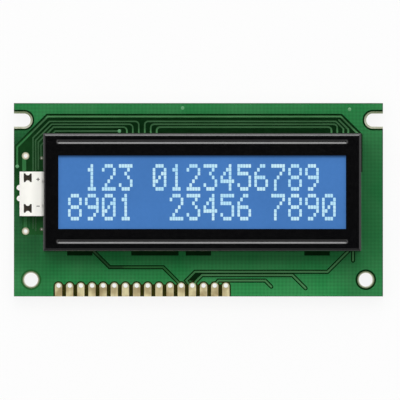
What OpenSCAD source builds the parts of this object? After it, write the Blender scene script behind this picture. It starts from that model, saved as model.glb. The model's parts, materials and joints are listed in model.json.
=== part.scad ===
// Character LCD module, two rows of sixteen characters, edge-lit.
// The module lies on its back: +X to its right, +Y up the display, +Z out of the display face.
// The origin is below the middle of the board, on the surface that the module lies on.

/* [Board] */
// Length of the board along X
board_l = 84; // [80:0.5:90]
// Height of the board along Y
board_w = 44; // [42.5:0.5:48]
// Thickness of the board
board_t = 1.6; // [1:0.1:2]
// Thickness of the plated copper
copper_t = 0.06; // [0.04:0.01:0.1]
// Clear gap round plated pads
mask_gap = 0.32; // [0.2:0.02:0.36]

/* [Mounting] */
// Distance of the round mounting holes from the board's side edges
hole_inset = 3.9; // [3.6:0.1:4.4]
// Height of the round mounting holes above the board's lower edge
hole_edge = 3.8; // [3.6:0.1:4.4]
// Diameter of the round mounting holes
hole_d = 3.1; // [2.6:0.1:3.3]
// Width of the open edge slots
slot_w = 3; // [2.4:0.1:3.3]
// Outer width of the plated rims
rim_d = 3.9; // [3.7:0.1:4.4]
// Clear gap round the plated rims
rim_gap = 0.4; // [0.2:0.05:0.45]
// Distance of the edge slots below the board's upper edge
slot_edge = 3.85; // [3.4:0.05:4.2]
// Depth of the edge slots to the middle of their round end
slot_depth = 2.3; // [1.5:0.1:3]

/* [Terminals] */
// Number of edge terminals
term_n = 16; // [14:1:18]
// Pitch of the terminals
term_pitch = 2.54; // [2.4:0.01:2.6]
// Distance of the first terminal from the board's left edge
term_inset = 10.15; // [9.6:0.05:10.8]
// Width of a terminal
term_w = 1.65; // [1.4:0.05:1.7]
// Reach of a terminal from the board's lower edge
term_reach = 3.15; // [2.8:0.05:3.3]
// Distance of the terminal drills from the board's lower edge
term_drill_edge = 2.45; // [2:0.05:2.5]
// Drill diameter of a terminal
term_drill = 1; // [0.8:0.05:1.1]

/* [Bezel] */
// Board left of the bezel
left_shelf = 6.85; // [6.6:0.05:7.2]
// Board right of the bezel
right_shelf = 5.15; // [4.8:0.05:5.6]
// Board above the bezel
top_shelf = 6.95; // [6.8:0.05:7.4]
// Board below the bezel
low_shelf = 10.4; // [9.8:0.05:11]
// Height of the bezel face above the board
bezel_h = 8.6; // [8.2:0.1:10]
// Sheet thickness of the bezel
sheet_t = 0.5; // [0.3:0.05:0.6]
// Outside radius of the folded edges
fold_r = 0.6; // [0.6:0.05:0.9]
// Width of the bezel beside the window
side_bar = 3.45; // [3:0.05:4]
// Width of the bezel above and below the window
long_bar = 5; // [4.6:0.05:5.4]
// Distance of the stamped beads' ends from the bezel's ends
bead_inset = 2.8; // [2:0.1:6]
// Width of the stamped beads
bead_w = 1.4; // [1:0.05:1.5]
// Depth of the stamped beads
bead_d = 0.35; // [0.25:0.05:0.4]
// Distance of the upper bead from the bezel's upper edge
bead_top = 1.85; // [1.8:0.05:2.2]
// Distance of the lower bead from the bezel's lower edge
bead_low = 2.2; // [1.8:0.05:2.3]
// Width of a bezel tab
tab_w = 5.2; // [3:0.1:6]
// Distance between neighbouring tabs
tab_pitch = 27; // [24:0.5:28]
// Length of a tab's folded foot
tab_foot = 2.6; // [1.5:0.1:3.4]
// Extra width of a tab's board slot towards the middle of the board
tab_room = 0.6; // [0.3:0.05:0.8]
// Clearance round a tab in its board slot
tab_clear = 0.05; // [0.05:0.05:0.3]

/* [Display cell] */
// Thickness of each glass plate
glass_t = 1.1; // [0.7:0.05:1.2]
// Thickness of each polarizer
polar_t = 0.2; // [0.1:0.02:0.24]
// Width that the front polarizer reaches past the window
polar_over = 0.9; // [0.4:0.05:1]
// Thickness of the sealed cell gap
seal_t = 0.1; // [0.05:0.01:0.15]
// Width of the cell seal
seal_w = 1; // [0.6:0.1:1.4]
// Clearance between the glass and the bezel walls
glass_gap = 0.3; // [0.2:0.05:0.5]
// Width of the elastomer strips
zebra_w = 2; // [1.6:0.1:2.4]
// Distance of the elastomer strips' ends from the glass's ends
zebra_inset = 1.9; // [1:0.1:4]
// Gap between the rear glass and the elastomer strips
rear_gap = 0.75; // [0.5:0.05:0.9]

/* [Backlight] */
// Gap between the ends of the light housing and the bezel walls
light_inset = 1; // [0.6:0.1:1.5]
// Gap between the light housing and the elastomer strips
light_gap = 1.05; // [0.8:0.05:1.3]
// Wall of the light housing
light_wall = 0.9; // [0.6:0.05:1.1]
// Thickness of the light guide
guide_t = 3; // [2:0.1:3.4]
// Thickness of the diffuser and reflector films
film_t = 0.2; // [0.1:0.02:0.24]
// Play of the light guide and films in the housing
play = 0.1; // [0.05:0.05:0.2]
// Width of the housing's tab along Y
ear_w = 10.1; // [9.5:0.1:11]
// Height of the tab's middle above the board's middle
ear_dy = 1.35; // [0.5:0.05:2]
// Distance of the tab's end from the board's left edge
ear_edge = 1.35; // [1:0.05:2]
// Thickness of the tab
ear_t = 2.4; // [1.8:0.1:2.8]
// Radius of the nibs on the tab's end
nib_r = 0.65; // [0.4:0.05:0.9]
// Distance between the nibs
nib_pitch = 2.45; // [2:0.05:3]
// Width of a backlight terminal
lead_w = 1.7; // [1.2:0.05:1.8]
// Distance of the backlight terminals from the board's left edge
lead_inset = 3.2; // [3:0.05:3.6]
// Distance of the upper terminal from the tab's upper edge
lead_top = 1.4; // [1.2:0.05:1.6]
// Distance of the lower terminal from the tab's lower edge
lead_low = 1.75; // [1.4:0.05:2]
// Diameter of a backlight terminal's pin
lead_pin_d = 0.8; // [0.6:0.05:0.9]

/* [Back side] */
// Height of the epoxy blobs
blob_h = 1.4; // [1.2:0.1:2]
// Diameter of the epoxy blobs
blob_d = 13; // [11:0.5:14]
// Distance between the blobs
blob_pitch = 32; // [28:0.5:36]
// Height of the blobs' middles above the board's middle
blob_dy = 1.2; // [0.6:0.1:1.8]
// Length of a chip resistor or capacitor
chip_l = 2; // [1.6:0.1:2.2]
// Width of a chip
chip_w = 1.25; // [0.8:0.05:1.4]
// Height of a chip resistor
chip_h = 0.5; // [0.35:0.05:0.6]
// Height of a chip capacitor
cap_h = 0.8; // [0.5:0.05:1]

/* [Hidden] */

$fn = 48;

// Levels along Z
board_z = blob_h + copper_t;
front_z = board_z + board_t;
face_z = front_z + bezel_h;
under_z = face_z - sheet_t;
glass_z = under_z - bead_d;
ledge_z = glass_z - glass_t;
rear_z = ledge_z - seal_t - glass_t;
light_top = rear_z - polar_t;
// Height of the straight cuts that go right through the board
through = 3 * board_t;
through_z = board_z - board_t;

// Board edges and the places of holes
left_x = -board_l / 2;
low_y = -board_w / 2;
high_y = board_w / 2;
hole_x = board_l / 2 - hole_inset;
hole_y = low_y + hole_edge;
slot_x = board_l / 2 - slot_depth;
slot_y = high_y - slot_edge;

// Terminals
function term_x(i) = left_x + term_inset + i * term_pitch;
term_xs = [for (i = [0:term_n - 1]) term_x(i)];
term_drill_y = low_y + term_drill_edge;
pad_top = low_y + term_reach;

// Bezel
bezel_l = board_l - left_shelf - right_shelf;
bezel_w = board_w - top_shelf - low_shelf;
bezel_dx = (left_shelf - right_shelf) / 2;
bezel_dy = (low_shelf - top_shelf) / 2;
bez_left = left_x + left_shelf;
bez_right = board_l / 2 - right_shelf;
bez_low = low_y + low_shelf;
bez_high = high_y - top_shelf;
window_l = bezel_l - 2 * side_bar;
window_w = bezel_w - 2 * long_bar;
bead_y = [bez_low + bead_low, bez_high - bead_top];
bead_l = bezel_l - 2 * bead_inset;
bead_r = (bead_w * bead_w / 4 + bead_d * bead_d) / (2 * bead_d);

// Cell. The strips stand below the beads, and the cell and the light housing lie between them
cell_dy = (bead_y[0] + bead_y[1]) / 2;
between_strips = bead_y[1] - bead_y[0] - zebra_w;
glass_l = bezel_l - 2 * sheet_t - 2 * glass_gap;
rear_glass_w = between_strips - 2 * rear_gap;
zebra_l = glass_l - 2 * zebra_inset;
finger_pitch = 1.2;
finger_w = 0.65;
finger_over = 0.1;

// Light housing and its tab
light_l = bezel_l - 2 * sheet_t - 2 * light_inset;
light_w = between_strips - 2 * light_gap;
housing_left = bezel_dx - light_l / 2;
tray_top = light_top - film_t;
guide_z = tray_top - guide_t;
tray_z = guide_z - film_t;
ear_left = left_x + ear_edge;
ear_low = ear_dy - ear_w / 2;
ear_high = ear_dy + ear_w / 2;
ear_gap = 0.15;
// Depth of the flat pressed into the bezel's side above the tab
ear_relief = 0.2;
// Small round pits in the tab at the foot of the bezel
pit_d = 0.45;
pit_depth = 0.8;
pit_y = [for (s = [-1, 1]) ear_dy + s * 2.75];
nib_y = [for (s = [-1, 1]) ear_dy + 0.18 + s * nib_pitch / 2];
lead_x = left_x + lead_inset;
lead_y = [ear_low + lead_low, ear_high - lead_top];
lead_fit = 0.06;
lead_sink = 0.3;
lead_hole_d = lead_pin_d + 0.2;
pin_out = 0.7;
joint_d = lead_pin_d * 2.5;
led_t = 1;
led_w = 3;
strip_t = 0.8;
strip_w = light_w - 2 * light_wall - 3;
strip_left = housing_left + light_wall + play;
guide_left = strip_left + strip_t + led_t + play;
guide_right = bezel_dx + light_l / 2 - light_wall - play;

// Chips on the back: resistors above the line between the blobs, capacitors below it
chip_end = chip_l / 5;
chip_step = 2.4;
chip_fillet = 0.6;
resistors = [for (i = [-2:2]) [i * chip_step, blob_dy + 6.2]];
capacitors = [for (s = [-1, 1]) [s * chip_step, blob_dy - 6.5]];

// Vias as [x, y, pad diameter, drill]; the mask covers the tented ones, which are low discs
small_via = [0.6, 0.3];
tent_d = 0.8;
lead_via = [1.7, 0.85];
edge_via = [0.8, 0.2];
// Rows of vias between the contact fingers and the light housing, above and below the blobs
row_step = 2 * finger_pitch;
via_row_y = [for (s = [-1, 1]) cell_dy + s * (between_strips - light_gap + finger_over) / 2];
top_rows = [for (s = [-1, 1], i = [-4:4]) [s * blob_pitch / 2 + i * row_step, via_row_y[1]]];
low_rows = [for (i = [-3:3]) [blob_pitch / 2 + i * row_step, via_row_y[0]]];
vias = concat(
    [for (p = [[left_x + 2.65, high_y - 12], [left_x + 2.65, low_y + 14.85]]) concat(p, lead_via)],
    [for (p = [[bez_left - 0.55, high_y - 12.5], [bez_left - 0.55, low_y + 15.3]]) concat(p, edge_via)],
    [for (p = concat(top_rows, low_rows)) concat(p, small_via)]);

// Lanes of the upper traces, counted from the board's upper edge downwards
lane = [for (d = [3.05, 4.15, 4.8, 5.45, 6.35]) high_y - d];
side_lane = left_x + 0.75;
short_lane_end = left_x + 24;
fed_pour = [left_x + 38.4, high_y - 1.1];
tented = [[side_lane, high_y - 14.4], fed_pour,
          [bez_right - 2.45, high_y - 1.4], [short_lane_end, lane[4]]];
// Left ends of the lanes: where each bends at 45 degrees, and the column that it runs down
lane_bend = [for (d = [0.85, 1.25, 1.75, 2.15, 2.55]) bez_left + d];
lane_column = concat([side_lane], [for (d = [2.5, 1.9, 1.3, 0.7]) bez_left - d]);
function left_lane(i, end) =
    let (drop = lane_bend[i] - lane_column[i])
    [[lane_column[i], end], [lane_column[i], lane[i] - drop], [lane_bend[i], lane[i]]];
// The round corner at which a lane from the left turns down to the bezel at x, and its mirror
turn_r = 0.8;
under_bezel = bez_high - 0.5;
function turn_down(x, y) = concat(arc([x - turn_r, y - turn_r], turn_r, 90, 0), [[x, under_bezel]]);
function turn_up(x, y) = concat([[x, under_bezel]], arc([x + turn_r, y - turn_r], turn_r, 180, 90));
// Where the lanes turn down to the drivers: to the left and to the right of fan_x
fan_shift = 29.1;
fan_x = left_x + fan_shift;
fan_step = 1.36;
function fan(i) = fan_x + (i + 0.5) * fan_step;
// A lane's right end, which slants down at 45 degrees from x to the bezel, d further right
function slant(x, y, d) = [[x, y], [x + d, y - d], [x + d, under_bezel]];

// Front traces as [width, gap to the pour, points]
top_traces = [
    [0.4, 0.45, concat(left_lane(0, high_y - 14), slant(bez_right - 4.45, lane[0], 4.2))],
    [0.32, 0.3, concat(left_lane(1, low_y + 15.5), turn_down(fan(-1), lane[1]))],
    [0.32, 0.3, concat(left_lane(2, low_y + 15), turn_down(fan(-2), lane[2]))],
    [0.36, 0.3, concat(left_lane(3, high_y - 15), turn_down(fan(-3), lane[3]))],
    [0.32, 0.3, concat(left_lane(4, high_y - 12.3), [[short_lane_end, lane[4]]])],
    [0.36, 0.3, concat(turn_up(fan(0), lane[1]), slant(bez_right - 5.55, lane[1], 1.7))],
    [0.36, 0.3, concat(turn_up(fan(1), lane[2]), turn_down(bez_right - 5.25, lane[2]))],
    [0.4, 0.3, concat(turn_up(fan(2), lane[3]), turn_down(bez_right - 6.55, lane[3]))],
    [0.4, 0.3, slant(bez_right - 4.85, lane[0] - 0.8, 2.1)]];
side_traces = [
    [0.9, 0.3, [[left_x + 2.35, high_y - 12.4], [left_x + 2.35, ear_dy]]],
    [0.8, 0.3, [[left_x + 2.6, low_y + 15.3], [left_x + 2.6, ear_dy]]]];
// The lower traces start at terminals 12 to 15; heights are counted from the board's lower edge
low_lane = [for (d = [6.65, 5.6, 4.85, 3.6]) low_y + d];
low_turn = bez_right - 7.45;
low_traces = [
    [0.4, 0.27, [[term_x(11) - 16.3 - (bez_low - low_lane[0]), bez_low], [term_x(11) - 16.3, low_lane[0]],
                 [term_x(11) - 4.1, low_lane[0]], [term_x(11) - 1, low_lane[0] - 3.1],
                 [term_x(11) - 0.2, pad_top - 0.6]]],
    [0.42, 0.27, [[term_x(12) - 0.55, pad_top - 0.6], [term_x(12) - 1.4, low_lane[1] - 2],
                  [term_x(12) + 0.6, low_lane[1]], [low_turn, low_lane[1]],
                  [low_turn + bez_low - low_lane[1], bez_low]]],
    [0.42, 0.27, [[term_x(12) + 0.45, pad_top - 0.6], [term_x(12) + 0.75, low_lane[2] - 1.45],
                  [term_x(12) + 2.2, low_lane[2]], [low_turn - 8, low_lane[2]],
                  [low_turn - 5, low_lane[2] - 3]]],
    [0.4, 0.27, [[term_x(14) + 0.2, pad_top - 0.4], [term_x(14) + 0.8, low_lane[3]],
                 [low_turn - 14.2, low_lane[3]], [low_turn - 12.8, low_lane[3] - 1.4]]],
    [0.36, 0.3, [[bez_right - 1.65, bez_low], [bez_right - 1.65, bez_low - 2.25]]]];
traces = concat(top_traces, side_traces, low_traces);

// The dark field that the upper lanes run in, from just above the first lane to the bezel
field_y = lane[0] + 0.6;
field_left = lane_bend[0] - 0.25;
field_low = high_y - 15.7;
field_right = bez_right + 0.5;
corridor = [[field_left, field_y], [field_right - 4.7, field_y], [field_right, field_y - 4.7],
            [field_right, field_low], [left_x, field_low], [left_x, field_y - (field_left - left_x)]];
// The dark field between the tab of the light housing and the lower pour
side_field = [[left_x + 3.6, ear_dy], [left_x + 3.6, low_y + 14], [bez_left, low_y + 14], [bez_left, ear_dy]];
// The bare bay between two of the lower traces, and the bare strip left of the light housing's tab
low_bay = [[term_x(12) - 1.1, low_lane[1] - 1.9], [term_x(12) + 0.75, low_lane[1] - 0.2],
           [term_x(12) + 2.2, low_lane[2] + 0.2], [term_x(12) + 0.5, low_lane[2] - 1.5]];
ear_strip = [[left_x, ear_dy - 2.35], [left_x, field_low], [ear_left + 1, field_low], [ear_left + 1, ear_dy - 2.35]];
// Bare strip between the terminals
pad_strip = [[term_x(0), low_y], [term_x(0), pad_top - 0.4], [term_x(term_n - 1), pad_top - 0.4],
             [term_x(term_n - 1), low_y]];
// Stretches where the pour stays clear of the bezel's lower edge: its tab slots, and one bay of traces
slot_half = tab_w / 2 + tab_room / 2;
bay_start = left_x + 26.7;
bay_end = left_x + 37.5;
slot_relief = concat([for (i = [-1:1]) [i * tab_pitch - slot_half, i * tab_pitch + slot_half]],
                     [[bay_start, bay_end]]);
relief_w = 1.1;
// Bare edge of the board outside the pours
pour_margin = 0.1;

// Back traces: a bus between the blobs, fans to the rows of vias, and lines to the terminals
back_w = 0.3;
back_gap = 0.25;
bus_step = 0.75;
bus_half = 4 * bus_step;
blob_x = [-blob_pitch / 2, blob_pitch / 2];
line_turn = bez_low + 0.65;
// From a via to the blob at x, met at an angle that follows the via's place in its row
function fan_line(v, x, s) =
    let (a = s * 90 - s * (v[0] - x) * 6)
    [v, [v[0], v[1] - s * 0.8], [x, blob_dy] + blob_d / 2.4 * [cos(a), sin(a)]];
// Links from the chips to the bus, and the rails that join their outer ends
land = chip_l / 2 + chip_fillet / 2;
function chip_links(places, s) =
    let (y = places[0][1], n = len(places) - 1, rail = y + s * (land + 1))
    concat([[[places[0][0], rail], [places[n][0], rail]]],
           [for (p = places) [[p[0], y + s * land], [p[0], rail]]],
           [for (p = places) [[p[0], y - s * land], [p[0], blob_dy + s * bus_half]]]);
back_lines = concat(
    chip_links(resistors, 1), chip_links(capacitors, -1),
    [for (i = [-4:4]) [[blob_x[0], blob_dy + i * bus_step], [blob_x[1], blob_dy + i * bus_step]]],
    [for (v = top_rows) fan_line(v, v[0] < 0 ? blob_x[0] : blob_x[1], 1)],
    [for (v = low_rows) fan_line(v, blob_x[1], -1)],
    [for (i = [-5:5]) let (x = term_x(i + 7), a = blob_x[0] + i * bus_step)
        [[a, blob_dy], [a, line_turn], [x, line_turn - 1 - abs(x - a) * 0.6], [x, pad_top - 0.5]]]);

// ---------- shared shapes ----------

// A box given by its middle in X and Y and its lowest Z
module block(size, at) {
    translate([at[0] - size[0] / 2, at[1] - size[1] / 2, at[2]]) cube(size);
}

// A box given by two opposite corners
module span(a, b) {
    translate(a) cube(b - a);
}

function unit(v) = v / norm(v);
function side(v) = [-v[1], v[0]];
// Direction across the line at point i, lengthened at a bend so that the width stays true
function across(p, i) =
    let (n = len(p) - 1,
         a = side(unit(p[min(i + 1, n)] - p[min(i, n - 1)])),
         b = side(unit(p[max(i, 1)] - p[max(i - 1, 0)])),
         m = unit(a + b))
    m / (m * a);
// Half circle round an end of a line of width w, starting on the side that s gives
function cap(c, s, w) = [for (t = [30:30:150]) c + w / 2 * (cos(t) * s + sin(t) * [s[1], -s[0]])];
// Outline of a line of width w along the points p, with round ends
function ribbon(p, w) =
    let (n = len(p) - 1)
    concat([for (i = [0:n]) p[i] + w / 2 * across(p, i)],
           cap(p[n], across(p, n), w),
           [for (i = [n:-1:0]) p[i] - w / 2 * across(p, i)],
           cap(p[0], -across(p, 0), w));
module line(p, w) {
    polygon(ribbon(p, w));
}

// Arc of points about c with radius r, from angle a to angle b
function arc(c, r, a, b, n = 6) = [for (i = [0:n]) c + r * [cos(a + (b - a) * i / n), sin(a + (b - a) * i / n)]];

// ---------- board ----------

// A straight round cut or post through the whole board
module drill_at(p, d) {
    translate([p[0], p[1], through_z]) cylinder(d = d, h = through);
}

// The round holes of diameter d and the edge slots of width w, as straight cuts from z, h high
module mounting_cuts(d, w, z = through_z, h = through) {
    for (s = [-1, 1]) {
        translate([s * hole_x, hole_y, z]) cylinder(d = d, h = h);
        translate([s * slot_x, slot_y, z]) cylinder(d = w, h = h);
        block([slot_depth * 2, w, h], [s * board_l / 2, slot_y, z]);
    }
}

// The slots that the bezel's tabs pass through, wider towards the middle of the board
module tab_slots() {
    slot_t = sheet_t + tab_clear + tab_room;
    for (i = [-1:1], s = [-1, 1])
        block([tab_w + 2 * tab_clear, slot_t, through],
              [i * tab_pitch, bezel_dy + s * (bezel_w / 2 + tab_clear - slot_t / 2), through_z]);
}

module circuit_board() {
    color("darkgreen") difference() {
        block([board_l, board_w, board_t], [0, 0, board_z]);
        mounting_cuts(hole_d + 2 * copper_t, slot_w);
        tab_slots();
        for (x = term_xs) drill_at([x, term_drill_y], term_drill);
        for (v = vias) drill_at(v, v[3] + 2 * copper_t);
        for (y = lead_y) drill_at([lead_x, y], lead_hole_d);
    }
}

// Outline of a finger pad, grown by g, from the board's lower edge to its round end
module finger(x, g) {
    r = term_w / 2 + g;
    polygon(concat([[x + r, low_y - g]], arc([x, low_y + term_reach - term_w / 2], r, 0, 180, 12),
                   [[x - r, low_y - g]]));
}

module sheet_at(z, h) {
    translate([0, 0, z]) linear_extrude(h) children();
}

module terminal_pads() {
    color("tan") for (x = term_xs) difference() {
        intersection() {
            for (z = [front_z, board_z - copper_t]) sheet_at(z, copper_t) finger(x, 0);
            block([board_l, board_w, through], [0, 0, through_z]);
        }
        drill_at([x, term_drill_y], term_drill);
    }
}

module mounting_rims() {
    color("wheat") difference() {
        intersection() {
            union() {
                for (z = [front_z, board_z - copper_t]) mounting_cuts(rim_d, rim_d, z, copper_t);
                for (s = [-1, 1]) translate([s * hole_x, hole_y, board_z])
                    cylinder(d = hole_d + 2 * copper_t, h = board_t);
            }
            block([board_l, board_w, through], [0, 0, through_z]);
        }
        mounting_cuts(hole_d, slot_w);
    }
}

module plated_vias() {
    color("ivory") for (v = vias) difference() {
        union() {
            for (z = [front_z, board_z - copper_t])
                translate([v[0], v[1], z]) cylinder(d = v[2], h = copper_t);
            translate([v[0], v[1], board_z]) cylinder(d = v[3] + 2 * copper_t, h = board_t);
        }
        drill_at(v, v[3]);
    }
}

// Vias that the mask covers: low domes that stand a little above the copper
module tented_vias() {
    color("mediumseagreen") for (v = tented) translate([v[0], v[1], front_z]) {
        cylinder(d = tent_d, h = copper_t);
        translate([0, 0, copper_t]) cylinder(d1 = tent_d, d2 = tent_d / 2, h = copper_t / 2);
    }
}

// Everything on the front that copper stays clear of: the bezel, and the tab of the light housing
module front_keepout() {
    block([bezel_l + 2 * ear_gap, bezel_w + 2 * ear_gap, through], [bezel_dx, bezel_dy, through_z]);
    span([ear_left - ear_gap, ear_low - ear_gap, through_z],
         [bezel_dx, ear_high + ear_gap, through_z + through]);
    for (y = nib_y) drill_at([ear_left, y], 2 * (nib_r + ear_gap));
}

module front_traces() {
    color("seagreen") difference() {
        sheet_at(front_z, copper_t) for (t = traces) line(t[2], t[0]);
        front_keepout();
        for (v = vias) drill_at(v, v[2]);
        for (v = tented) drill_at(v, tent_d);
        sheet_at(through_z, through) for (x = term_xs) finger(x, 0);
        mounting_cuts(rim_d, rim_d);
    }
}

module front_copper_pour() {
    color("green") difference() {
        block([board_l - 2 * pour_margin, board_w - 2 * pour_margin, copper_t], [0, 0, front_z]);
        sheet_at(through_z, through) {
            for (p = [corridor, side_field, low_bay, ear_strip, pad_strip]) polygon(p);
            for (t = traces) line(t[2], t[0] + 2 * t[1]);
            for (x = term_xs) finger(x, mask_gap);
        }
        for (v = vias) drill_at(v, v[2] + 2 * mask_gap);
        for (v = tented) drill_at(v, tent_d);
        mounting_cuts(rim_d + 2 * rim_gap, rim_d + 2 * rim_gap);
        front_keepout();
        for (b = slot_relief) span([b[0], bez_low - relief_w, through_z], [b[1], bez_low, through_z + through]);
    }
}

module contact_fingers() {
    count = floor(zebra_l / finger_pitch);
    color("gold") for (i = [0:count - 1], y = bead_y)
        block([finger_w, zebra_w + 2 * finger_over, copper_t],
              [bezel_dx + (i - (count - 1) / 2) * finger_pitch, y, front_z]);
}

module back_traces() {
    color("seagreen") difference() {
        sheet_at(board_z - copper_t, copper_t) for (t = back_lines) line(t, back_w);
        sheet_at(through_z, through) {
            for (x = term_xs) finger(x, 0);
            chip_lands(0);
        }
        for (v = vias) drill_at(v, v[2]);
    }
}

// The board's area under each chip and its solder, grown by g
module chip_lands(g) {
    for (p = concat(resistors, capacitors)) translate(p)
        square([chip_w + 2 * g, chip_l + 2 * chip_fillet + 2 * g], center = true);
}

module back_copper_pour() {
    foot = tab_foot + 2 * mask_gap;
    color("green") difference() {
        block([board_l - 2 * pour_margin, board_w - 2 * pour_margin, copper_t], [0, 0, board_z - copper_t]);
        sheet_at(through_z, through) {
            for (t = back_lines) line(t, back_w + 2 * back_gap);
            for (x = term_xs) finger(x, mask_gap);
            polygon(pad_strip);
            chip_lands(back_gap);
        }
        for (v = vias) drill_at(v, v[2] + 2 * mask_gap);
        for (y = lead_y) drill_at([lead_x, y], joint_d + 2 * mask_gap);
        for (x = blob_x) drill_at([x, blob_dy], blob_d + 2 * mask_gap);
        mounting_cuts(rim_d + 2 * rim_gap, rim_d + 2 * rim_gap);
        for (i = [-1:1], s = [-1, 1])
            block([tab_w + 2 * mask_gap, foot, through],
                  [i * tab_pitch, bezel_dy + s * (bezel_w / 2 + mask_gap - foot / 2), through_z]);
    }
}

// ---------- bezel ----------

// Side view of the folded cap, with round upper edges
module cap_profile(w, h, r) {
    polygon(concat([[w / 2, 0]], arc([w / 2 - r, h - r], r, 0, 90), arc([r - w / 2, h - r], r, 90, 180),
                   [[-w / 2, 0]]));
}

// A cap with all four upper edges folded round
module folded_cap(l, w, h, r) {
    intersection() {
        rotate([90, 0, 0]) linear_extrude(w, center = true) cap_profile(l, h, r);
        rotate([90, 0, 90]) linear_extrude(l, center = true) cap_profile(w, h, r);
    }
}

// A round bar with ball ends, which forms a stamped bead of the sheet
module bead_form(y, r) {
    translate([bezel_dx, y, face_z - bead_d + bead_r]) {
        rotate([0, 90, 0]) cylinder(r = r, h = bead_l - bead_w, center = true);
        for (s = [-1, 1]) translate([s * (bead_l - bead_w) / 2, 0, 0]) sphere(r = r);
    }
}

// One tab: it passes through the board and its foot folds in under it. s is 1 at the upper side
module bezel_tab(x, s) {
    y = bezel_dy + s * bezel_w / 2;
    translate([x - tab_w / 2, y, board_z - sheet_t]) rotate([90, 0, 90]) linear_extrude(tab_w)
        polygon(concat([[0, board_t + sheet_t + 1], [-s * sheet_t, board_t + sheet_t + 1],
                        [-s * sheet_t, sheet_t], [-s * tab_foot, sheet_t], [-s * tab_foot, 0]],
                       [for (a = [0:15:90]) [-s * (sheet_t - sheet_t * sin(a)), sheet_t - sheet_t * cos(a)]]));
}

module bezel() {
    color("black") difference() {
        union() {
            difference() {
                translate([bezel_dx, bezel_dy, front_z]) folded_cap(bezel_l, bezel_w, bezel_h, fold_r);
                translate([bezel_dx, bezel_dy, front_z - sheet_t])
                    folded_cap(bezel_l - 2 * sheet_t, bezel_w - 2 * sheet_t, bezel_h, fold_r - sheet_t + 0.05);
            }
            intersection() {
                for (y = bead_y) bead_form(y, bead_r + sheet_t);
                block([bezel_l, bezel_w, bead_d + sheet_t / 2], [bezel_dx, bezel_dy, glass_z]);
            }
            for (i = [-1:1], s = [-1, 1]) bezel_tab(i * tab_pitch, s);
        }
        for (y = bead_y) bead_form(y, bead_r);
        block([window_l, window_w, sheet_t * 4], [bezel_dx, bezel_dy, face_z - sheet_t * 2]);
        span([bez_left - sheet_t, ear_low - ear_gap, through_z],
             [bez_left + 2 * sheet_t, ear_high + ear_gap, front_z + ear_t + ear_gap]);
        span([bez_left - sheet_t, ear_low - ear_gap, through_z],
             [bez_left + ear_relief, ear_high + ear_gap, face_z + sheet_t]);
    }
}

// ---------- display cell ----------

module plate(l, w, z, h) {
    block([l, w, h], [bezel_dx, cell_dy, z]);
}

module front_polarizer() {
    color("steelblue")
        block([window_l + 2 * polar_over, window_w + 2 * polar_over, polar_t], [bezel_dx, bezel_dy, glass_z]);
}

module front_glass() {
    color("lightblue")
        block([glass_l, bezel_w - 2 * sheet_t - 2 * glass_gap, glass_t], [bezel_dx, bezel_dy, ledge_z]);
}

module cell_seal() {
    color("gray") difference() {
        plate(glass_l, rear_glass_w, ledge_z - seal_t, seal_t);
        plate(glass_l - 2 * seal_w, rear_glass_w - 2 * seal_w, ledge_z - 2 * seal_t, 3 * seal_t);
    }
}

module rear_glass() {
    color("lightblue") plate(glass_l, rear_glass_w, rear_z, glass_t);
}

module rear_polarizer() {
    color("steelblue") plate(window_l + 2 * polar_over, rear_glass_w - rear_gap, rear_z - polar_t, polar_t);
}

module elastomer_strip(y) {
    color("dimgray") span([bezel_dx - zebra_l / 2, y - zebra_w / 2, front_z + copper_t],
                          [bezel_dx + zebra_l / 2, y + zebra_w / 2, ledge_z]);
}

module upper_elastomer_strip() {
    elastomer_strip(bead_y[1]);
}

module lower_elastomer_strip() {
    elastomer_strip(bead_y[0]);
}

// ---------- backlight ----------

// Outline of a backlight terminal seen from above, grown by g: a square bitten by two round notches
module lead_outline(g) {
    difference() {
        square([lead_w + 2 * g, lead_w * 1.08 + 2 * g], center = true);
        for (s = [-1, 1]) translate([0, s * lead_w * 0.62]) circle(r = lead_w * 0.33 - g);
    }
}

module backlight_housing() {
    color("white") difference() {
        union() {
            plate(light_l, light_w, front_z, tray_top - front_z);
            span([ear_left, ear_low, front_z], [housing_left + light_wall, ear_high, front_z + ear_t]);
            for (y = nib_y) translate([ear_left, y, front_z]) cylinder(r = nib_r, h = ear_t);
        }
        plate(light_l - 2 * light_wall, light_w - 2 * light_wall, tray_z, tray_top);
        for (y = lead_y)
            translate([lead_x, y, through_z]) linear_extrude(through + ear_t) lead_outline(lead_fit);
        for (y = pit_y) translate([bez_left - pit_d / 2, y, front_z + ear_t - pit_depth])
            cylinder(d = pit_d, h = 2 * pit_depth);
    }
}

module reflector_film() {
    color("silver") plate(light_l - 2 * (light_wall + play), light_w - 2 * (light_wall + play), tray_z, film_t);
}

module light_guide() {
    half_w = light_w / 2 - light_wall - play;
    color("azure") span([guide_left, cell_dy - half_w, guide_z], [guide_right, cell_dy + half_w, tray_top]);
}

module led_board() {
    color("white") span([strip_left, cell_dy - strip_w / 2, guide_z],
                        [strip_left + strip_t, cell_dy + strip_w / 2, tray_top - play]);
}

module leds() {
    color("lemonchiffon") for (s = [-1, 1])
        block([led_t, led_w, guide_t * 0.7],
              [strip_left + strip_t + led_t / 2, cell_dy + s * strip_w / 4, guide_z + play]);
}

module diffuser_film() {
    color("whitesmoke") plate(light_l, light_w, tray_top, film_t);
}

module backlight_terminals() {
    color("dimgray") for (y = lead_y) translate([lead_x, y, 0]) {
        translate([0, 0, front_z]) linear_extrude(ear_t - lead_sink) lead_outline(0);
        translate([0, 0, board_z - pin_out]) cylinder(d = lead_pin_d, h = board_t + pin_out + lead_sink);
    }
}

// ---------- back side ----------

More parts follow.
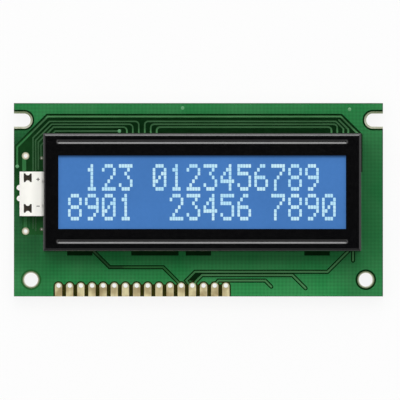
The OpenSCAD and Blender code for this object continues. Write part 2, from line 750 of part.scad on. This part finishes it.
// A drop of epoxy with a low crown: it rises steeply at its rim and is flat at its middle
module blob(x) {
    crown = 0.45;
    translate([x, blob_dy, board_z - copper_t]) mirror([0, 0, 1]) rotate_extrude()
        polygon(concat([[0, 0]],
            [for (a = [0:10:80]) [blob_d / 2 * (crown + (1 - crown) * cos(a)), blob_h * sin(a)]],
            [[blob_d / 2 * crown, blob_h], [0, blob_h]]));
}

module controller_blob() {
    color("black") blob(blob_x[0]);
}

module driver_blob() {
    color("black") blob(blob_x[1]);
}

module chips(places, h) {
    for (p = places) block([chip_w, chip_l - 2 * chip_end, h], [p[0], p[1], board_z - copper_t - h]);
}

module chip_resistors() {
    color("black") chips(resistors, chip_h);
}

module chip_capacitors() {
    color("peru") chips(capacitors, cap_h);
}

// Tinned ends of the chips with their sloping solder, and the cones round the backlight leads
module solder_joints() {
    color("silver") {
        for (p = resistors, s = [-1, 1]) chip_joint(p, s, chip_h);
        for (p = capacitors, s = [-1, 1]) chip_joint(p, s, cap_h);
        for (y = lead_y) difference() {
            translate([lead_x, y, board_z - pin_out]) cylinder(d1 = lead_hole_d, d2 = joint_d, h = pin_out);
            drill_at([lead_x, y], lead_pin_d);
        }
    }
}

module chip_joint(p, s, h) {
    end = s * chip_l / 2;
    translate([p[0] - chip_w / 2, p[1], board_z]) rotate([90, 0, 90]) linear_extrude(chip_w)
        polygon([[end - s * chip_end, 0], [end + s * chip_fillet, 0], [end + s * chip_fillet, -copper_t],
                 [end, -copper_t - h * 0.85], [end, -copper_t - h], [end - s * chip_end, -copper_t - h]]);
}

circuit_board();
front_copper_pour();
front_traces();
back_copper_pour();
back_traces();
terminal_pads();
mounting_rims();
plated_vias();
tented_vias();
contact_fingers();
bezel();
front_polarizer();
front_glass();
cell_seal();
rear_glass();
rear_polarizer();
upper_elastomer_strip();
lower_elastomer_strip();
backlight_housing();
light_guide();
diffuser_film();
reflector_film();
led_board();
leds();
backlight_terminals();
controller_blob();
driver_blob();
chip_resistors();
chip_capacitors();
solder_joints();
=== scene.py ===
# Flat character display module, seen straight from above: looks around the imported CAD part.
import json
from math import cos, pi, radians, sin

import bpy
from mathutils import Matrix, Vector


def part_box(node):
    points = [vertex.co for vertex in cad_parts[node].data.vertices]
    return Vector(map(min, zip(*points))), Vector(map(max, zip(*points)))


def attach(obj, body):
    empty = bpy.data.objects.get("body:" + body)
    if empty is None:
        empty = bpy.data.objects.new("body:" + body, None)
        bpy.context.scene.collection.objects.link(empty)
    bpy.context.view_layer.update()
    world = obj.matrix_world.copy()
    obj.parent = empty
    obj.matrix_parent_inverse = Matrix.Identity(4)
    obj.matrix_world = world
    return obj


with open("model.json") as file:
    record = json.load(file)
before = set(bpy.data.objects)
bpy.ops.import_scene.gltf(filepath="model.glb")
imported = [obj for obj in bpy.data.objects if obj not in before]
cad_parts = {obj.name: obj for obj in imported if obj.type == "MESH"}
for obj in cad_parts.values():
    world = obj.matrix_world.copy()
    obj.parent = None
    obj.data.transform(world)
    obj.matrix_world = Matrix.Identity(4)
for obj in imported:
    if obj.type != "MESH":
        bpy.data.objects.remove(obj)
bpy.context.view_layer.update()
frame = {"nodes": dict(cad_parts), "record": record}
MM = 0.001

# Places on the board that the finishes follow, in metres from the board's middle
HOLE = Vector((38.1, -18.2)) * MM
SLOT_LOW, SLOT_HIGH = 16.6 * MM, 19.8 * MM
# The two large vias beside the light housing's tab: their column, their middle, and half their distance
LEAD_VIA_X, LEAD_VIA_MIDDLE, LEAD_VIA_HALF = -39.35 * MM, 1.425 * MM, 8.575 * MM
# The bare strip between the terminals: its left and right ends, and its upper edge
PADS_LEFT, PADS_RIGHT, PADS_TOP = -33.2 * MM, 7.6 * MM, -18.2 * MM
# Period of the copper mesh, and of the layers of glass cloth on the board's edges
MESH_STEP, WEAVE_STEP = 0.84 * MM, 0.2 * MM


# ---------- materials ----------

def srgb(r, g, b):
    """Linear colour of an sRGB colour in 0 to 255."""
    def one(v):
        v /= 255
        return v / 12.92 if v <= 0.04045 else ((v + 0.055) / 1.055) ** 2.4
    return one(r), one(g), one(b), 1.0


class Look:
    """A node material under construction, with short calls for the nodes that the finishes share."""

    def __init__(self, name):
        self.mat = bpy.data.materials.new(name)
        self.mat.use_nodes = True
        self.nodes = self.mat.node_tree.nodes
        self.links = self.mat.node_tree.links
        self.bsdf = self.nodes["Principled BSDF"]
        self.coords = self.nodes.new("ShaderNodeTexCoord").outputs["Object"]

    def put(self, socket, value):
        if isinstance(value, bpy.types.NodeSocket):
            self.links.new(value, socket)
        else:
            socket.default_value = value

    def math(self, kind, a, b=0.5, c=0.5):
        n = self.nodes.new("ShaderNodeMath")
        n.operation = kind
        for s, v in zip(n.inputs, (a, b, c)):
            self.put(s, v)
        return n.outputs[0]

    def noise(self, scale, detail=3.0, stretch=(1, 1, 1)):
        m = self.nodes.new("ShaderNodeMapping")
        m.inputs["Scale"].default_value = stretch
        self.put(m.inputs["Vector"], self.coords)
        n = self.nodes.new("ShaderNodeTexNoise")
        n.inputs["Scale"].default_value = scale
        n.inputs["Detail"].default_value = detail
        self.put(n.inputs["Vector"], m.outputs[0])
        return n.outputs["Fac"]

    def spread(self, fac, lo, hi, a=0.3, b=0.7):
        n = self.nodes.new("ShaderNodeMapRange")
        self.put(n.inputs["Value"], fac)
        for s, v in zip(("From Min", "From Max", "To Min", "To Max"), (a, b, lo, hi)):
            self.put(n.inputs[s], v)
        return n.outputs["Result"]

    def mix(self, fac, a, b):
        n = self.nodes.new("ShaderNodeMix")
        n.data_type = "RGBA"
        self.put(n.inputs[0], fac)
        self.put(n.inputs[6], a)
        self.put(n.inputs[7], b)
        return n.outputs[2]

    def shade(self, colour, fac):
        """The colour times a factor."""
        n = self.nodes.new("ShaderNodeVectorMath")
        n.operation = "SCALE"
        self.put(n.inputs[0], colour[:3] if isinstance(colour, tuple) else colour)
        self.put(n.inputs["Scale"], fac)
        return n.outputs[0]

    def axis(self, i):
        n = self.nodes.new("ShaderNodeSeparateXYZ")
        self.put(n.inputs[0], self.coords)
        return n.outputs[i]

    def reach(self, x, y):
        """Distance from a line along Z whose two offsets in metres are given as sockets or numbers."""
        return self.math("SQRT", self.math("MULTIPLY_ADD", x, x, self.math("MULTIPLY", y, y)))

    def facing_up(self):
        """1 on faces that look up or down, 0 on upright faces."""
        g = self.nodes.new("ShaderNodeNewGeometry")
        n = self.nodes.new("ShaderNodeSeparateXYZ")
        self.put(n.inputs[0], g.outputs["Normal"])
        return self.math("GREATER_THAN", self.math("ABSOLUTE", n.outputs[2]), 0.5)

    def bump(self, height, depth, strength=1.0):
        n = self.nodes.new("ShaderNodeBump")
        n.inputs["Distance"].default_value = depth
        n.inputs["Strength"].default_value = strength
        self.put(n.inputs["Height"], height)
        self.put(self.bsdf.inputs["Normal"], n.outputs[0])

    def finish(self, colour, rough, metal=0.0, specular=0.5, **extra):
        self.put(self.bsdf.inputs["Base Color"], colour)
        self.put(self.bsdf.inputs["Roughness"], rough)
        self.bsdf.inputs["Metallic"].default_value = metal
        self.bsdf.inputs["Specular IOR Level"].default_value = specular
        for key, value in extra.items():
            self.put(self.bsdf.inputs[key], value)
        return self.mat


def plain(name, colour, rough, vary=0.06, grain=700, depth=0.0, stretch=(1, 1, 1), **extra):
    """One colour with mottling, uneven gloss and, where depth is given, a fine relief."""
    look = Look(name)
    n = look.noise(grain, stretch=stretch)
    wide = look.noise(grain / 9, 2.0)
    tone = look.math("ADD", look.spread(n, -vary / 2, vary / 2),
                     look.spread(wide, 1 - vary / 2, 1 + vary / 2))
    if depth:
        look.bump(n, depth)
    return look.finish(look.shade(colour, tone), look.spread(n, rough * 0.88, rough * 1.12), **extra)


def masked_copper():
    """Green mask over hatched copper: a fine square grid, soft clouds and a slightly wavy gloss.

    Its tone changes over the board: darker left and right of the bezel and below the upper left slot,
    and lighter along the lower edge, between the corners, where painted light thins the bezel's shadow."""
    look = Look("masked_copper")
    grid = look.math("ADD", look.math("SINE", look.math("MULTIPLY", look.axis(0), 2 * pi / MESH_STEP)),
                     look.math("SINE", look.math("MULTIPLY", look.axis(1), 2 * pi / MESH_STEP)))
    clouds = look.noise(150, 3.0)
    tint = look.mix(look.spread(clouds, 0.0, 1.0), srgb(26, 117, 58), srgb(42, 123, 66))
    tone = look.math("ADD", look.spread(grid, -0.14, 0.15, -2, 2),
                     look.spread(look.noise(1500), 0.97, 1.03))
    beside = look.math("ADD", look.spread(look.axis(0), 0.32, 0.0, -37 * MM, -34 * MM),
                       look.spread(look.axis(0), 0.0, 0.15, 34 * MM, 37 * MM))
    middle = look.spread(look.math("ABSOLUTE", look.axis(1)), 1.0, 0.0, 12 * MM, 18 * MM)
    # Painted light along the lower edge, thinning the bezel's shadow below it
    low = look.math("MULTIPLY", look.spread(look.axis(1), 0.34, 0.0, -15.4 * MM, -13.2 * MM),
                    look.spread(look.math("ABSOLUTE", look.axis(0)), 1.0, 0.0, 30 * MM, 35 * MM))
    corner = look.math("MULTIPLY", look.spread(look.axis(1), 0.2, 0.0, 16 * MM, 18 * MM),
                       look.math("MULTIPLY", look.spread(look.axis(1), 0.0, 1.0, 11 * MM, 13 * MM),
                                 look.spread(look.axis(0), 1.0, 0.0, -38.5 * MM, -36 * MM)))
    place = look.math("SUBTRACT", look.math("ADD", 0.79, low), look.math("MULTIPLY", beside, middle))
    place = look.math("SUBTRACT", place, corner)
    tone = look.math("MULTIPLY", tone, place)
    look.bump(look.math("ADD", look.noise(420), look.math("MULTIPLY", grid, 0.12)), 0.03 * MM, 0.6)
    return look.finish(look.shade(tint, tone), look.spread(clouds, 0.34, 0.44), specular=0.25)


def laminate():
    """Dark green mask on the faces, with painted light that lightens the shade left of the bezel; bare
    laminate between the terminals; glass weave on the board's edges."""
    look = Look("board_laminate")
    fine = look.noise(900)
    mask = look.mix(look.spread(fine, 0.0, 1.0), srgb(0, 29, 4), srgb(3, 39, 10))
    bare = look.mix(look.spread(fine, 0.0, 1.0), srgb(34, 36, 3), srgb(48, 46, 8))
    low = look.spread(look.axis(1), 1.0, 0.0, PADS_TOP - 0.6 * MM, PADS_TOP)
    left, right = (look.spread(look.axis(0), 0.0, 1.0, end, end + inwards)
                   for end, inwards in ((PADS_LEFT, 0.5 * MM), (PADS_RIGHT, -0.5 * MM)))
    # Painted light: the mask left of the bezel is lightened where the bezel and the tab shade it
    beside = look.math("MULTIPLY", look.spread(look.axis(0), 1.0, 0.0, -35.5 * MM, -34.5 * MM),
                       look.math("MULTIPLY", look.spread(look.axis(1), 0.8, 0.22, 0.0, 7 * MM),
                                 look.spread(look.axis(1), 1.0, 0.0, 13 * MM, 16 * MM)))
    mask = look.mix(beside, mask, srgb(36, 92, 44))
    face = look.mix(look.math("MULTIPLY", low, look.math("MULTIPLY", left, right)), mask, bare)
    weave = look.math("SINE", look.math("MULTIPLY", look.axis(2), 2 * pi / WEAVE_STEP))
    edge = look.mix(look.spread(weave, 0.0, 1.0, -1, 1), srgb(138, 140, 84), srgb(168, 164, 104))
    up = look.facing_up()
    look.bump(look.noise(420), 0.02 * MM, 0.5)
    rough = look.math("MULTIPLY_ADD", up, -0.35, 0.75)
    return look.finish(look.mix(up, edge, face), rough, specular=0.06)


def traces(name, colour):
    """Copper lines under the mask: lighter than the bare laminate, with a slow change of tone.

    The first lane and the ends at the bezel are lighter, the lines in the lower left darker with painted
    shade below the bezel's lower edge, and those at the left edge greener."""
    look = Look(name)
    wide = look.noise(110, 2.0)
    look.bump(look.noise(900), 0.015 * MM, 0.5)
    tone = look.math("ADD", look.spread(wide, 0.9, 1.1), look.spread(look.noise(1800), -0.03, 0.03))
    ends = look.math("MULTIPLY", look.spread(look.axis(1), 0.0, 1.1, 16.5 * MM, 15.4 * MM),
                     look.spread(look.axis(0), 0.0, 1.0, -17.4 * MM, -16.6 * MM))
    first = look.spread(look.axis(1), 0.0, 0.8, 18.5 * MM, 18.7 * MM)
    tone = look.math("MULTIPLY", tone, look.math("ADD", 1.0, look.math("MAXIMUM", ends, first)))
    # Painted shade on the lines just below the bezel's lower edge
    painted_shade_below_bezel = look.math("MULTIPLY", look.spread(look.axis(1), 1.0, 0.0, -13 * MM, -12 * MM),
                    look.spread(look.axis(0), 0.85, 0.0, -6 * MM, 2 * MM))
    colour = look.mix(painted_shade_below_bezel, colour, srgb(18, 70, 27))
    at_left = look.spread(look.axis(0), 1.0, 0.0, -38.5 * MM, -37.6 * MM)
    colour = look.mix(at_left, colour, srgb(40, 104, 54))
    return look.finish(look.shade(colour, tone), look.spread(wide, 0.3, 0.42), specular=0.3)


def plated(name, bright, dull, rough=0.42, metal=0.55, pale=None, ring=None):
    """Plated pads: a warm metal that changes tone from pad to pad and is faintly brushed.

    pale = (colour, axis, from, to): the plating passes to that colour along the axis, in millimetres.
    ring = (colour, share): the same by the share that the function share(look) gives."""
    look = Look(name)
    patch = look.noise(330, 2.0)
    fine = look.noise(2600, 2.0, (1, 0.25, 1))
    colour = look.mix(look.spread(patch, 0.0, 1.0, 0.38, 0.62), dull, bright)
    if pale:
        other, axis, start, end = pale
        colour = look.mix(look.spread(look.axis(axis), 0.0, 1.0, start * MM, end * MM), colour, other)
    if ring:
        other, share = ring
        colour = look.mix(share(look), colour, other)
    look.bump(fine, 0.006 * MM, 0.5)
    return look.finish(look.shade(colour, look.spread(fine, 0.93, 1.07)),
                       look.spread(patch, rough * 0.8, rough * 1.2), metal=metal)


def black_paint():
    """Semi-gloss black paint on the bezel, with fine orange peel and a little dust."""
    look = Look("black_painted_steel")
    peel = look.noise(1500, 2.0)
    dust = look.noise(5200, 1.0)
    look.bump(peel, 0.004 * MM, 0.6)
    colour = look.mix(look.spread(dust, 0.0, 1.0, 0.6, 0.85), srgb(4, 4, 5), srgb(14, 14, 15))
    return look.finish(colour, look.spread(peel, 0.13, 0.18), specular=0.55)


def white_moulding():
    """White plastic with painted shade: greyer where the tab passes under the bezel's wall and at its left
    end.
    """
    look = Look("white_moulding")
    fine = look.noise(600)
    look.bump(fine, 0.008 * MM)
    # Painted shade under the bezel's wall and at the tab's left end
    under = look.math("MULTIPLY", look.spread(look.axis(0), 1.0, 0.44, -35.9 * MM, -35.15 * MM),
                      look.spread(look.axis(0), 0.76, 1.0, -40.7 * MM, -38.2 * MM))
    mottle = look.math("ADD", look.spread(fine, -0.01, 0.01), look.spread(look.noise(67), 0.99, 1.01))
    tone = look.math("MULTIPLY", under, mottle)
    return look.finish(look.shade(srgb(254, 253, 246), tone), look.spread(fine, 0.37, 0.47), specular=0.35)


def blue_film():
    """The lit display area: mottled blue light, a little brighter towards the backlight's tab, with the
    bezel's shadow along its upper edge."""
    look = Look("polarizer_film")
    wide = look.noise(75, 2.0)
    fine = look.noise(1100, 2.0)
    along = look.spread(look.axis(0), 1.03, 0.97, -32 * MM, 34 * MM)
    mottle = look.math("ADD", look.spread(wide, 0.95, 1.05), look.spread(fine, -0.02, 0.02))
    tone = look.math("MULTIPLY", along, mottle)
    tone = look.math("MULTIPLY", tone, look.spread(look.axis(1), 1.0, 0.1, 9.4 * MM, 10.15 * MM))
    colour = look.shade(srgb(71, 123, 190), tone)
    return look.finish(look.shade(colour, 0.3), look.spread(fine, 0.16, 0.22), specular=0.3,
                       **{"Emission Color": colour, "Emission Strength": 0.58})


def lit_dots():
    """The bright dots of the characters, nearly white with a blue cast."""
    look = Look("lit_dots")
    wide = look.noise(300, 2.0)
    colour = look.mix(look.spread(wide, 0.0, 1.0), srgb(176, 226, 252), srgb(206, 242, 254))
    return look.finish(look.shade(colour, 0.25), look.spread(wide, 0.2, 0.3), specular=0.3,
                       **{"Emission Color": colour, "Emission Strength": 0.63})


def pane(name, colour):
    """Clear glass or acrylic with a faint tint, slightly uneven."""
    look = Look(name)
    n = look.noise(260, 2.0)
    return look.finish(look.shade(colour, look.spread(n, 0.97, 1.0)), look.spread(n, 0.02, 0.05),
                       specular=0.5, **{"Transmission Weight": 0.9, "IOR": 1.5})


def round_lead_vias(look):
    """How olive the plating is: outwards round the two large vias beside the tab, and fully elsewhere. The
    full olive elsewhere is partly the dull tin's own tone and partly painted shade on the vias in the bezel's
    shadow.
    """
    from_middle = look.math("ABSOLUTE", look.math("SUBTRACT", look.axis(1), LEAD_VIA_MIDDLE))
    along = look.math("SUBTRACT", from_middle, LEAD_VIA_HALF)
    reach = look.reach(look.math("ADD", look.axis(0), -LEAD_VIA_X), along)
    return look.spread(reach, 0.0, 1.0, 0.35 * MM, 0.95 * MM)


def round_rims(look):
    """How olive a rim is: outwards round the holes in the lower corners, and upwards round the open slots."""
    beside = look.math("SUBTRACT", look.math("ABSOLUTE", look.axis(0)), HOLE.x)
    reach = look.reach(beside, look.math("ADD", look.axis(1), -HOLE.y))
    holes = look.spread(reach, 0.0, 1.0, 1.4 * MM, 1.8 * MM)
    slots = look.spread(look.axis(1), 0.6, 0.95, SLOT_LOW, SLOT_HIGH)
    upper = look.math("GREATER_THAN", look.axis(1), 0.0)
    return look.math("MULTIPLY_ADD", upper, look.math("SUBTRACT", slots, holes), holes)


LOOKS = {
    "board_laminate": laminate(),
    "masked_copper": masked_copper(),
    "masked_trace": traces("masked_trace", srgb(45, 86, 50)),
    "gold_plating": plated("gold_plating", srgb(222, 212, 166), srgb(184, 166, 120),
                           pale=(srgb(208, 206, 162), 1, -20.05, -19.85)),
    # Tin plating; its olive away from the two large vias is partly painted shade on the vias beside the bezel
    "tin_plating": plated("tin_plating", srgb(250, 244, 216), srgb(240, 234, 204), 0.4, 0.2,
                          ring=(srgb(98, 108, 84), round_lead_vias)),
    "black_painted_steel": black_paint(),
    "polarizer_film": blue_film(),
    "cell_glass": pane("cell_glass", srgb(226, 240, 240)),
    "seal_resin": plain("seal_resin", srgb(176, 172, 158), 0.5),
    "elastomer": plain("elastomer", srgb(84, 84, 86), 0.7, 0.3, 4000, 0.01 * MM, (6, 0.2, 0.2)),
    "white_moulding": white_moulding(),
    "clear_acrylic": pane("clear_acrylic", srgb(240, 246, 246)),
    "diffuser": plain("diffuser", srgb(232, 234, 234), 0.6, 0.03, 2500, 0.004 * MM),
    "reflector": plain("reflector", srgb(226, 228, 230), 0.12, 0.04, 300, metal=1.0),
    "led_package": plain("led_package", srgb(230, 214, 120), 0.4, 0.1, 1800),
    "dark_terminal": plain("dark_terminal", srgb(66, 60, 52), 0.36, 0.25, 2200, 0.01 * MM, metal=0.7),
    "black_epoxy": plain("black_epoxy", srgb(22, 22, 24), 0.22, 0.2, 500, 0.05 * MM),
    "resistor_glaze": plain("resistor_glaze", srgb(30, 30, 33), 0.25, 0.2, 1800, 0.01 * MM),
    "capacitor_ceramic": plain("capacitor_ceramic", srgb(158, 124, 88), 0.5, 0.14, 2600, 0.008 * MM),
    "solder": plain("solder", srgb(206, 206, 204), 0.3, 0.1, 1500, 0.02 * MM, metal=0.85),
}

SPECIAL = {
    "tented_vias": plain("masked_via", srgb(84, 142, 96), 0.36, 0.1, 1800, 0.01 * MM),
    "mounting_rims": plated("rim_plating", srgb(250, 248, 232), srgb(238, 236, 214), 0.4, 0.15,
                            ring=(srgb(96, 110, 76), round_rims)),
}
for part in frame["record"]["subparts"]:
    mesh = frame["nodes"][part["node"]].data
    mesh.materials.clear()
    mesh.materials.append(SPECIAL.get(part["node"], LOOKS[part["material_slot"]]))


# ---------- shapes that the CAD part leaves out ----------

def mesh_piece(name, verts, faces, material, slot):
    mesh = bpy.data.meshes.new(name)
    mesh.from_pydata(verts, [], faces)
    mesh.materials.append(material)
    obj = bpy.data.objects.new(name, mesh)
    bpy.context.collection.objects.link(obj)
    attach(obj, "root")


def pad_rings(x, y, z, w, h, r, t, n=4):
    """Vertices and faces of a low rounded rectangle, w by h, whose top edge is bevelled."""
    verts, faces = [], []
    for level, inset in ((z, 0.0), (z + 0.6 * t, 0.0), (z + t, 0.4 * t)):
        for cx, cy, start in ((1, 1, 0), (-1, 1, 90), (-1, -1, 180), (1, -1, 270)):
            for k in range(n):
                a = radians(start + 90 * k / (n - 1))
                verts.append((x + cx * (w / 2 - r) + (r - inset) * cos(a),
                              y + cy * (h / 2 - r) + (r - inset) * sin(a), level))
    ring = 4 * n
    for level in (0, ring):
        faces += [(level + k, level + (k + 1) % ring, level + ring + (k + 1) % ring, level + ring + k)
                  for k in range(ring)]
    faces.append(tuple(range(2 * ring, 3 * ring)))
    faces.append(tuple(reversed(range(ring))))
    return verts, faces


def merged(parts):
    verts, faces = [], []
    for v, f in parts:
        faces += [tuple(i + len(verts) for i in face) for face in f]
        verts += v
    return verts, faces


# Plain digits in cells of five by seven dots, each row of dots written from left to right
DIGITS = {
    "0": "01110 10001 10011 10101 11001 10001 01110",
    "1": "00100 01100 00100 00100 00100 00100 01110",
    "2": "01110 10001 00001 00010 00100 01000 11111",
    "3": "11111 00010 00100 00010 00001 10001 01110",
    "4": "00010 00110 01010 10010 11111 00010 00010",
    "5": "11111 10000 11110 00001 00001 10001 01110",
    "6": "00110 01000 10000 11110 10001 10001 01110",
    "7": "11111 00001 00010 00100 01000 01000 01000",
    "8": "01110 10001 10001 01110 10001 10001 01110",
    "9": "01110 10001 10001 01111 00001 00010 01100",
}
LINES = [" 123 0123456789 ", "8901  23456 7890"]
FIRST_CELL = Vector((-29.54, 8.1)) * MM
CELL = Vector((3.835, 6.735)) * MM
DOT = Vector((0.627, 0.867)) * MM
DOT_W, DOT_H, DOT_R, DOT_T = 0.57 * MM, 0.8 * MM, 0.07 * MM, 0.012 * MM
film_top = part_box("front_polarizer")[1].z

dots = []
for row, line in enumerate(LINES):
    for col, sign in enumerate(line):
        for j, bits in enumerate(DIGITS.get(sign, "").split()):
            for i, bit in enumerate(bits):
                if bit == "1":
                    x = FIRST_CELL.x + col * CELL.x + (i + 0.5) * DOT.x
                    y = FIRST_CELL.y - row * CELL.y - (j + 0.5) * DOT.y
                    dots.append(pad_rings(x, y, film_top, DOT_W, DOT_H, DOT_R, DOT_T))
mesh_piece("character_dots", *merged(dots), lit_dots(), "polarizer_film")


# Plain polarity marks on the tab: a plus by the upper terminal, a minus by the lower one
# The terminals' tops lie this far below the tab's
LEAD_SINK = 0.3 * MM
tab_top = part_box("backlight_terminals")[1].z + LEAD_SINK
MARK_X, MARK_R, MARK_T = -36.45 * MM, 0.05 * MM, 0.02 * MM
# Each bar as its place along Y, its width and its height, in millimetres
BARS = [(4.65, 0.75, 0.22), (4.65, 0.22, 0.75), (-1.45, 0.75, 0.22)]
marks = [pad_rings(MARK_X, y * MM, tab_top, w * MM, h * MM, MARK_R, MARK_T) for y, w, h in BARS]
mark_look = plain("moulded_mark", srgb(120, 118, 114), 0.5, 0.1, 2500)
mesh_piece("polarity_marks", *merged(marks), mark_look, "white_moulding")


# ---------- light, floor and camera ----------

# Strength of the ring, its gain towards +Y, and its loss towards both sides
RING_LEVEL = 3.6
RING_TILT = 0.8
SIDE_DIM = 0.75
# Level of the ring by the height of the direction, from the horizon and below (0) to overhead (1)
RING_STOPS = [(0.0, 0.12), (0.2, 0.16), (0.35, 0.3), (0.6, 0.9), (0.75, 1.0), (0.86, 0.35), (0.95, 0.01),
              (1.0, 0.006)]
# Bright band towards +Y: strength, first angle in degrees, half width, and the height that it starts from
BAND_LEVEL = 6.2
BAND_START = 10
BAND_HALF = 0.06
BAND_FLOOR = 0.28
# Weak patch towards -Y: strength, and the angles in degrees that it lies between
BACK_LEVEL = 0.8
BACK_SPAN = (8, 45)
# Loss of the ring in the band's width on the -Y side
BACK_SHADE = 0.72
# Backdrop as the camera sees it
BACKDROP_LEVEL = 0.98
# Floor as the camera sees it: its own glow, and the thin matt layer that takes the shadow
FLOOR_GLOW = 0.885
FLOOR_VEIL = 0.075
# Floor as all other light meets it
FLOOR_MATT = 0.8


def build_world():
    """Dark overhead, so that level faces stay deep; a pale ring lower down; and a bright band towards +Y."""
    world = bpy.data.worlds.new("studio")
    world.use_nodes = True
    bpy.context.scene.world = world
    nodes, links = world.node_tree.nodes, world.node_tree.links
    nodes.clear()

    def math(kind, a, b, clamp=False):
        n = nodes.new("ShaderNodeMath")
        n.operation = kind
        n.use_clamp = clamp
        for s, v in zip(n.inputs, (a, b)):
            if isinstance(v, bpy.types.NodeSocket):
                links.new(v, s)
            else:
                s.default_value = v
        return n.outputs[0]

    coords = nodes.new("ShaderNodeTexCoord")
    split = nodes.new("ShaderNodeSeparateXYZ")
    ramp = nodes.new("ShaderNodeValToRGB")
    path = nodes.new("ShaderNodeLightPath")
    sky, seen = nodes.new("ShaderNodeBackground"), nodes.new("ShaderNodeBackground")
    mix, out = nodes.new("ShaderNodeMixShader"), nodes.new("ShaderNodeOutputWorld")
    links.new(coords.outputs["Generated"], split.inputs[0])
    links.new(split.outputs[2], ramp.inputs[0])
    elements = ramp.color_ramp.elements
    elements[0].position, elements[1].position = RING_STOPS[0][0], RING_STOPS[-1][0]
    for place, _ in RING_STOPS[1:-1]:
        elements.new(place)
    for element, (_, level) in zip(elements, RING_STOPS):
        element.color = (level, level, level, 1)
    side = math("ABSOLUTE", split.outputs[0], 0)
    narrow = math("MULTIPLY", math("SUBTRACT", BAND_HALF + 0.02, side), 25, True)
    ahead = math("MULTIPLY", math("SUBTRACT", split.outputs[1], sin(radians(BAND_START))), 12, True)
    band = math("MULTIPLY", math("MULTIPLY", narrow, ahead), BAND_LEVEL)
    band = math("MULTIPLY", band, math("MULTIPLY", math("SUBTRACT", split.outputs[2], BAND_FLOOR), 4, True))
    behind = math("MULTIPLY", split.outputs[1], -1)
    near, far = (sin(radians(angle)) for angle in BACK_SPAN)
    patch = math("MULTIPLY", math("MULTIPLY", math("SUBTRACT", behind, near), 10, True),
                 math("MULTIPLY", math("SUBTRACT", far, behind), 8, True))
    patch = math("MULTIPLY", math("MULTIPLY", narrow, patch), BACK_LEVEL)
    back_half = math("MULTIPLY", behind, 3, True)
    shaded = math("SUBTRACT", 1.0, math("MULTIPLY", narrow, math("MULTIPLY", back_half, BACK_SHADE)))
    tilt = math("ADD", 1.0, math("MULTIPLY", split.outputs[1], RING_TILT))
    beside = math("SUBTRACT", 1.0, math("MULTIPLY", math("MULTIPLY", side, side), SIDE_DIM))
    ring = math("MULTIPLY", math("MULTIPLY", ramp.outputs[0], RING_LEVEL), math("MULTIPLY", tilt, beside))
    ring = math("MULTIPLY", ring, shaded)
    links.new(math("ADD", ring, math("ADD", band, patch)), sky.inputs["Strength"])
    seen.inputs["Color"].default_value = (BACKDROP_LEVEL, BACKDROP_LEVEL, BACKDROP_LEVEL, 1)
    links.new(path.outputs["Is Camera Ray"], mix.inputs[0])
    links.new(sky.outputs[0], mix.inputs[1])
    links.new(seen.outputs[0], mix.inputs[2])
    links.new(mix.outputs[0], out.inputs[0])


def build_floor():
    """A plain pale floor. The camera, reflections and clear pieces see it nearly white, with the part's
    shadow; all other light meets plain matt grey."""
    mat = bpy.data.materials.new("floor")
    mat.use_nodes = True
    nodes, links = mat.node_tree.nodes, mat.node_tree.links
    nodes.clear()
    path = nodes.new("ShaderNodeLightPath")
    either = nodes.new("ShaderNodeMath")
    either.operation = "MAXIMUM"
    every = nodes.new("ShaderNodeMath")
    every.operation = "MAXIMUM"
    matt, veil, glow = (nodes.new("ShaderNodeBsdfDiffuse"), nodes.new("ShaderNodeBsdfDiffuse"),
                        nodes.new("ShaderNodeEmission"))
    add, mix, out = (nodes.new("ShaderNodeAddShader"), nodes.new("ShaderNodeMixShader"),
                     nodes.new("ShaderNodeOutputMaterial"))
    for shader, level in ((matt, FLOOR_MATT), (veil, FLOOR_VEIL), (glow, FLOOR_GLOW)):
        shader.inputs["Color"].default_value = (level, level, level, 1)
    links.new(path.outputs["Is Camera Ray"], either.inputs[0])
    links.new(path.outputs["Is Glossy Ray"], either.inputs[1])
    links.new(either.outputs[0], every.inputs[0])
    links.new(path.outputs["Is Transmission Ray"], every.inputs[1])
    links.new(glow.outputs[0], add.inputs[0])
    links.new(veil.outputs[0], add.inputs[1])
    links.new(every.outputs[0], mix.inputs[0])
    links.new(matt.outputs[0], mix.inputs[1])
    links.new(add.outputs[0], mix.inputs[2])
    links.new(mix.outputs[0], out.inputs[0])
    bpy.ops.mesh.primitive_plane_add(size=3)
    floor = bpy.context.object
    floor.name = "floor"
    floor.data.materials.append(mat)


build_world()
build_floor()

# A long lens straight above the board. Its height over the board's front was chosen, not measured
CAMERA_HEIGHT = 1.5177
CAMERA_PLACE = Vector((0.36, -0.05)) * MM

camera = bpy.data.cameras.new("camera")
camera.sensor_width = 36
camera.lens = 600
camera.clip_end = 10
camera.dof.use_dof = False
viewer = bpy.data.objects.new("camera", camera)
viewer.location = (*CAMERA_PLACE, CAMERA_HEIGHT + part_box("circuit_board")[1].z)
bpy.context.collection.objects.link(viewer)
bpy.context.scene.camera = viewer
bpy.context.scene.view_settings.view_transform = "Standard"
